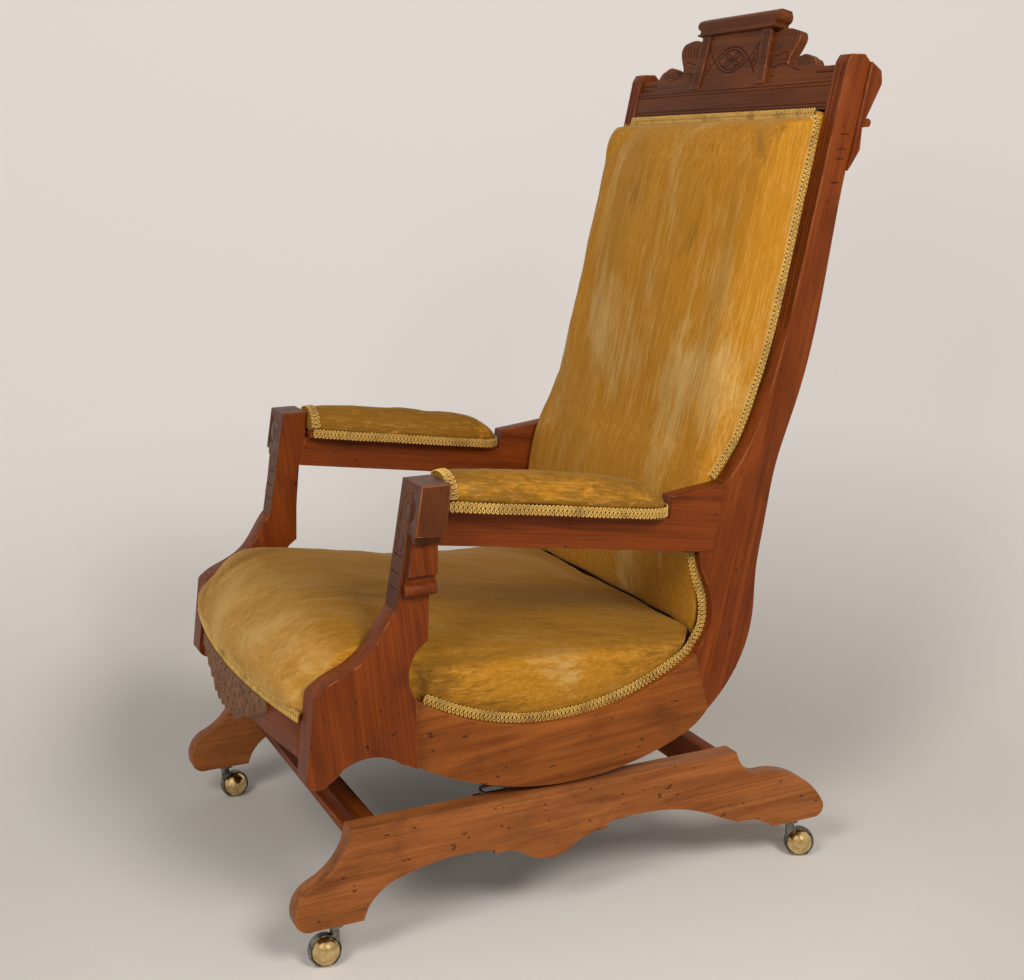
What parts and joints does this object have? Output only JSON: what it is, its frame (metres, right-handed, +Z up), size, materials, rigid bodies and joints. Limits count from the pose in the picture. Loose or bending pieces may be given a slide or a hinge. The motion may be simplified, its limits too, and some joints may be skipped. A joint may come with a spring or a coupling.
{
  "type": "platform rocker",
  "caption": "Upholstered high-back rocking chair on a low platform base, with curved rocker rails held by coil springs, open arms and ball casters.",
  "frame": {"origin": "on the floor, midway between the four casters' swivel axes", "axes": "+Z up; the chair faces -Y; +X to the sitter's left, which is the picture's near side"},
  "size_m": [0.63, 0.8298, 1.1712],
  "materials": {
    "walnut": "reddish-brown, old shellac varnish",
    "dark_walnut": "darker carved walnut, varnished",
    "plain_beech": "unfinished, hidden",
    "gold_velvet": "old-gold velvet with worn nap",
    "jute_webbing": "plain jute webbing",
    "dust_cloth": "thin black cambric",
    "brass_ball": "polished",
    "nickel_hood": "plated steel, dulled",
    "plated_steel": "plated",
    "blackened_iron": "blackened strap iron",
    "spring_steel": "dull, dark spring wire"
  },
  "bodies": {
    "base": {"runner_right": "walnut", "runner_left": "walnut", "front_stretcher": "walnut", "rear_stretcher": "walnut", "base_dowels": "plain_beech", "spring_bracket_lower_right": "blackened_iron", "spring_bracket_lower_left": "blackened_iron", "platform_spring_right": "spring_steel", "platform_spring_left": "spring_steel", "lower_bracket_screws": "plated_steel", "caster_socket_front_right": "plated_steel", "caster_socket_rear_right": "plated_steel", "caster_socket_front_left": "plated_steel", "caster_socket_rear_left": "plated_steel"},
    "chair": {"arm_left": "walnut", "arm_pad_board_left": "walnut", "arm_pad_board_right": "walnut", "arm_pad_left": "gold_velvet", "arm_pad_right": "gold_velvet", "arm_right": "walnut", "back_cushion": "gold_velvet", "back_webbing": "jute_webbing", "carved_apron": "walnut", "crest_board": "dark_walnut", "crest_cap": "dark_walnut", "crest_rail": "dark_walnut", "crest_tablet": "dark_walnut", "dust_cover": "dust_cloth", "ear_bracket_left": "dark_walnut", "ear_bracket_right": "dark_walnut", "frame_dowels": "plain_beech", "front_seat_rail": "walnut", "lower_back_rail": "plain_beech", "outside_back_cover": "gold_velvet", "post_left": "walnut", "post_right": "walnut", "rear_seat_rail": "plain_beech", "rocker_rail_left": "walnut", "rocker_rail_right": "walnut", "seat_batten_left": "plain_beech", "seat_batten_right": "plain_beech", "seat_cushion": "gold_velvet", "seat_springs": "spring_steel", "seat_webbing": "jute_webbing", "spring_bracket_upper_left": "blackened_iron", "spring_bracket_upper_right": "blackened_iron", "stile_left": "walnut", "stile_right": "walnut", "upper_bracket_screws": "plated_steel"},
    "caster_front_right": {"caster_hood_front_right": "nickel_hood"},
    "wheel_front_right": {"caster_wheel_front_right": "brass_ball"},
    "caster_rear_right": {"caster_hood_rear_right": "nickel_hood"},
    "wheel_rear_right": {"caster_wheel_rear_right": "brass_ball"},
    "caster_front_left": {"caster_hood_front_left": "nickel_hood"},
    "wheel_front_left": {"caster_wheel_front_left": "brass_ball"},
    "caster_rear_left": {"caster_hood_rear_left": "nickel_hood"},
    "wheel_rear_left": {"caster_wheel_rear_left": "brass_ball"}
  },
  "joints": [
    {"name": "rock", "type": "hinge", "parent": "base", "child": "chair", "pos_m": [0, -0.014, 0.1803], "axis": [1, 0, 0], "range_deg": [-7, 7], "stiffness_Nm_per_rad": 260, "springref_deg": 3.47, "deforming": ["platform_spring_right", "platform_spring_left"]},
    {"name": "swivel_front_right", "type": "hinge", "parent": "base", "child": "caster_front_right", "pos_m": [0.2705, -0.338, 0.05], "axis": [0, 0, 1], "continuous": true},
    {"name": "roll_front_right", "type": "hinge", "parent": "caster_front_right", "child": "wheel_front_right", "pos_m": [0.26979, -0.35148, 0.0193], "axis": [0.9889, -0.0518, 0.1392], "continuous": true},
    {"name": "swivel_rear_right", "type": "hinge", "parent": "base", "child": "caster_rear_right", "pos_m": [0.2705, 0.338, 0.05], "axis": [0, 0, 1], "continuous": true},
    {"name": "roll_rear_right", "type": "hinge", "parent": "caster_rear_right", "child": "wheel_rear_right", "pos_m": [0.27642, 0.35013, 0.0193], "axis": [0.89, -0.4341, 0.1392], "continuous": true},
    {"name": "swivel_front_left", "type": "hinge", "parent": "base", "child": "caster_front_left", "pos_m": [-0.2705, -0.338, 0.05], "axis": [0, 0, 1], "continuous": true},
    {"name": "roll_front_left", "type": "hinge", "parent": "caster_front_left", "child": "wheel_front_left", "pos_m": [-0.27144, -0.32453, 0.0193], "axis": [0.9879, 0.0691, 0.1392], "continuous": true},
    {"name": "swivel_rear_left", "type": "hinge", "parent": "base", "child": "caster_rear_left", "pos_m": [-0.2705, 0.338, 0.05], "axis": [0, 0, 1], "continuous": true},
    {"name": "roll_rear_left", "type": "hinge", "parent": "caster_rear_left", "child": "wheel_rear_left", "pos_m": [-0.27284, 0.32471, 0.0193], "axis": [0.9752, -0.172, 0.1392], "continuous": true}
  ]
}
